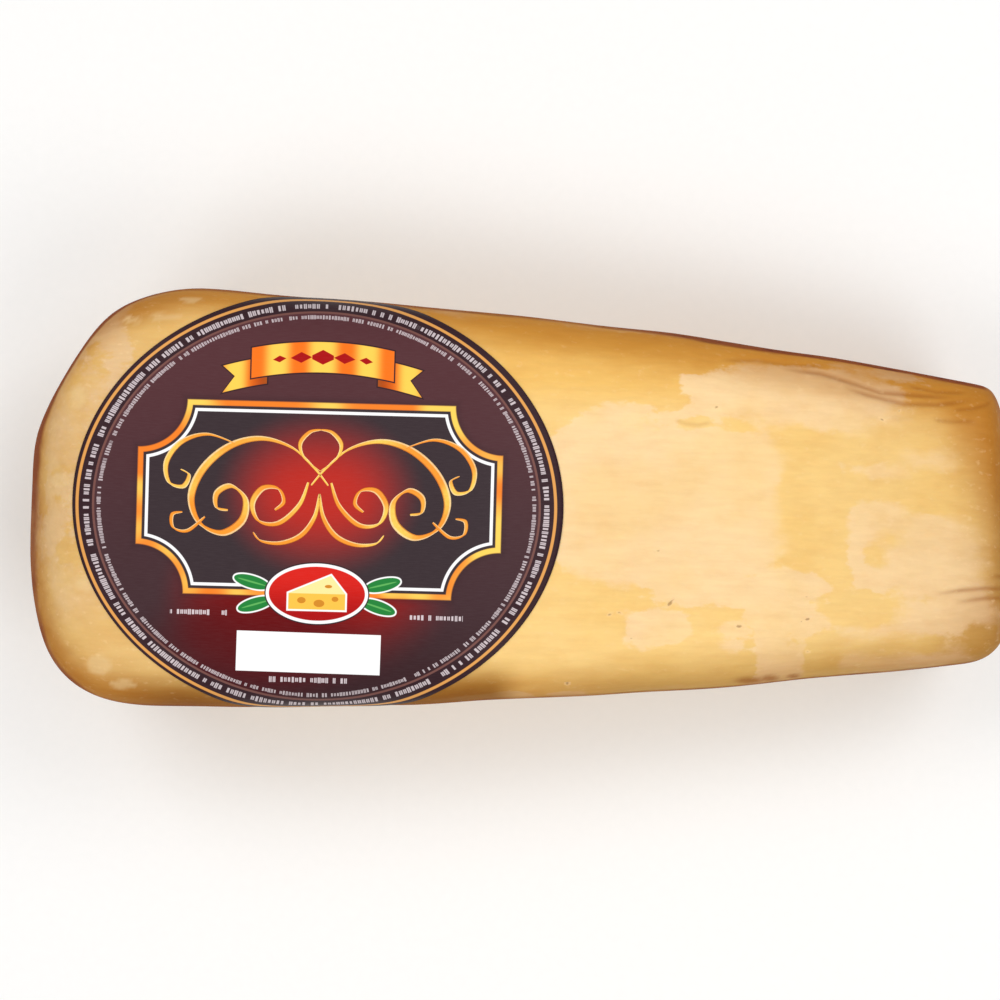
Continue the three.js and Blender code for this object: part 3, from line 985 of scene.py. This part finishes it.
wires.coat(inside_of(tails, -0.5), ink)
wires.coat(inside_of(tails), wires.blend(tail_shade, satin, ribbon_fold))
wires.coat(inside_of(band, -0.5), ink)
wires.coat(inside_of(band), satin)
lozenge_cell = wires.scaled(from_middle_u, 1 / lozenges["spacing"], 0.5)
lozenge_number = wires.maths("FLOOR", lozenge_cell)
off_centre = wires.times(apart(wires.maths("FRACT", lozenge_cell), 0.5), lozenges["spacing"])
lozenge_away = wires.scaled(off_centre, lozenges["flatness"], to_band_middle)
lozenge_size = wires.scaled(lozenge_number, -lozenges["less_each"], lozenges["largest"])
lozenge = widest(
    wires.minus(lozenge_away, lozenge_size),
    wires.minus(lozenge_number, lozenges["last"] + 0.5),
)
wires.coat(inside_of(lozenge), medallion_shade)

small_strength = 0.85
small_rows = (
    {"centre": (-41.0, -38.5), "half": 10, "height": 2.0, "seed": 4.0},
    {"centre": (41.8, -38.5), "half": 10, "height": 2.0, "seed": 9.0},
    {"centre": (-1.9, -61.3), "half": 14, "height": 2.0, "seed": 14.0},
)
for row in small_rows:
    row_u, row_v = row["centre"]
    marks = small_print(u, wires.minus(v, row_v), row["height"], row["seed"])
    extent = inside_of(apart(u, row_u), -row["half"])
    wires.coat(wires.times(wires.times(marks, extent), small_strength), cream_ink)
date_box = box((-2.1, -51.8), (25.3, 7.0), math.radians(0.5))
wires.coat(inside_of(date_box, 0.0, 0.08), white)

# The border: a dark band with two rows of small print between a rust and a gold ring.
wires.coat(wires.minus(1.0, inside_of(ring, -border_from)), ink)
for row in (outer_row, inner_row):
    marks = small_print(round_ring, wires.minus(ring, row["at"]), row["height"], row["seed"])
    wires.coat(wires.times(marks, row["strength"]), cream_ink)
for line, tint in ((rust_ring, rust), (gold_ring, gold)):
    wires.coat(line_at(ring, line["at"], line["width"]), tint)

fibre = wires.noise(wires.stretched(place, (0.25, 3, 1)), 1.0, 3.0)
wires.coat(wires.step(fibre, 0.35, 0.7, 0.0, 0.008), paper_grain, "SCREEN")
wires.plug(wires.colours, shader.inputs["Base Color"])
set_finish(shader, {
    "Roughness": 0.38, "Specular IOR Level": 0.03, "Coat Weight": 0.05, "Coat Roughness": 0.2
})
wires.plug(wires.bump(fibre, 0.0001, 0.25), shader.inputs["Normal"])


def thicken(sheet, thickness):
    """Gives a sheet its thickness, inwards from the face that shows."""
    wall = sheet.modifiers.new("thickness", "SOLIDIFY")
    wall.thickness = thickness * MM
    wall.offset = -1


paper = piece_from(bm, "paper_label", label_print)
spots = paper.data.attributes.new("print_place", "FLOAT_VECTOR", "POINT")
spots.data.foreach_set("vector", np.column_stack([paper_u, paper_v, np.zeros(len(paper_u))]).ravel())
thicken(paper, paper_thickness)
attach(paper, "root")
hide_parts("label")

# ------------------------------------------------------------
# The flourish: pen scrolls in raised gold ink, printed on the plaque, the same on both sides of
# its middle. Each stroke swells and thins as a broad nib held at a fixed slant would draw it.
# ------------------------------------------------------------

flourish_middle = 0.4
ink_amber, ink_yellow, ink_grain = colour(246, 150, 30), colour(255, 204, 84), colour(214, 128, 30)
lit_edge, shaded_edge = colour(255, 226, 170), colour(196, 96, 24)
pen_strokes = (
    (2.9, ((-3, 7), (2, 13), (10, 20), (21, 23), (32, 20), (41, 12), (45, 2), (42, -7), (34, -10.5),
           (27, -6), (26, 1.5), (31, 6), (36, 3.5), (36, -1.5), (32, -2.5))),
    (2.2, ((4, 8), (7, 0), (14, -6.5), (21, -6), (23.5, 0), (20, 5.5), (14.5, 5.5), (12.5, 1),
           (15.5, -2))),
    (2.0, ((30, 21), (40, 24), (49, 21), (54, 14), (53, 7), (48, 5.5), (46, 9.5), (49, 11.5))),
    (1.9, ((0, 4), (1.5, -4), (6, -10.5), (13, -13.5), (20, -13), (23, -10))),
    (1.6, ((0, 12), (5.6, 16.5), (7.2, 21.5), (4, 25.6), (0, 26.6))),
    (1.6, ((40, -5), (46, -10), (51, -9), (51.5, -4.5), (48, -3.5))),
)
nib_slant = math.radians(35)
thinnest_share = 0.34
stroke_ends, stroke_taper = (0.03, 0.97), 0.45
ink_thickness = 0.04
ink_lift, stroke_lift = 0.05, 0.012
steps_between = 20
strips_across = 4


def drawn_line(points):
    """A smooth line through all the points of a pen stroke."""
    p = np.array([points[0], *points, points[-1]], float)
    t = np.linspace(0, 1, steps_between, endpoint=False)[:, None]
    runs = []
    for a, b, c, d in zip(p, p[1:], p[2:], p[3:]):
        bend, twist = 2 * a - 5 * b + 4 * c - d, 3 * b - a - 3 * c + d
        runs.append(b + ((c - a) * t + bend * t ** 2 + twist * t ** 3) / 2)
    return np.vstack([*runs, p[-1:]])


bm = bmesh.new()
across_layer = bm.verts.layers.float.new("across_stroke")
for side in (1, -1):
    for number, (width, points) in enumerate(pen_strokes):
        line = drawn_line(points)
        run = np.gradient(line, axis=0)
        run /= np.linalg.norm(run, axis=1, keepdims=True)
        swelling = np.sin(math.pi * np.linspace(*stroke_ends, len(line))) ** stroke_taper
        slant = np.abs(np.sin(np.arctan2(run[:, 1], run[:, 0]) - nib_slant))
        half = width / 2 * (thinnest_share + (1 - thinnest_share) * slant) * swelling
        strip = bmesh.ops.create_grid(
            bm, x_segments=len(line) - 1, y_segments=strips_across, size=1
        )["verts"]
        step_at = np.array([round((v.co.x + 1) / 2 * (len(line) - 1)) for v in strip])
        across = np.array([v.co.y for v in strip])
        print_u = flourish_middle + side * (line[step_at, 0] - run[step_at, 1] * half[step_at] * across)
        print_v = line[step_at, 1] + run[step_at, 0] * half[step_at] * across
        raised = np.full(len(strip), label_lift + paper_thickness + ink_lift + stroke_lift * number)
        for vertex, point, edge_share in zip(strip, on_label(print_u, print_v, raised), across):
            vertex.co = point
            vertex[across_layer] = edge_share
bmesh.ops.recalc_face_normals(bm, faces=bm.faces)
bmesh.ops.reverse_faces(bm, faces=[face for face in bm.faces if face.normal.z < 0])

gold_ink, tree, shader = new_material("gold_ink")
wires = Wires(tree)
place = wires.object_place()
edge_share = wires.attribute("across_stroke")
wires.colours = wires.blend(wires.step(wires.noise(place, 42.0, 1.0), 0.4, 0.62), ink_amber, ink_yellow)
wires.coat(wires.step(edge_share, 0.35, 0.8, 0.0, 0.8), lit_edge)
wires.coat(wires.step(edge_share, -0.5, -0.95, 0.0, 0.7), shaded_edge)
wires.coat(wires.step(wires.noise(place, 900.0, 2.0), 0.4, 0.7, 0.0, 0.2), ink_grain)
wires.plug(wires.colours, shader.inputs["Base Color"])
set_finish(shader, {"Roughness": 0.36, "Specular IOR Level": 0.3})
flourish = piece_from(bm, "gold_flourish", gold_ink)
thicken(flourish, ink_thickness)
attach(flourish, "root")
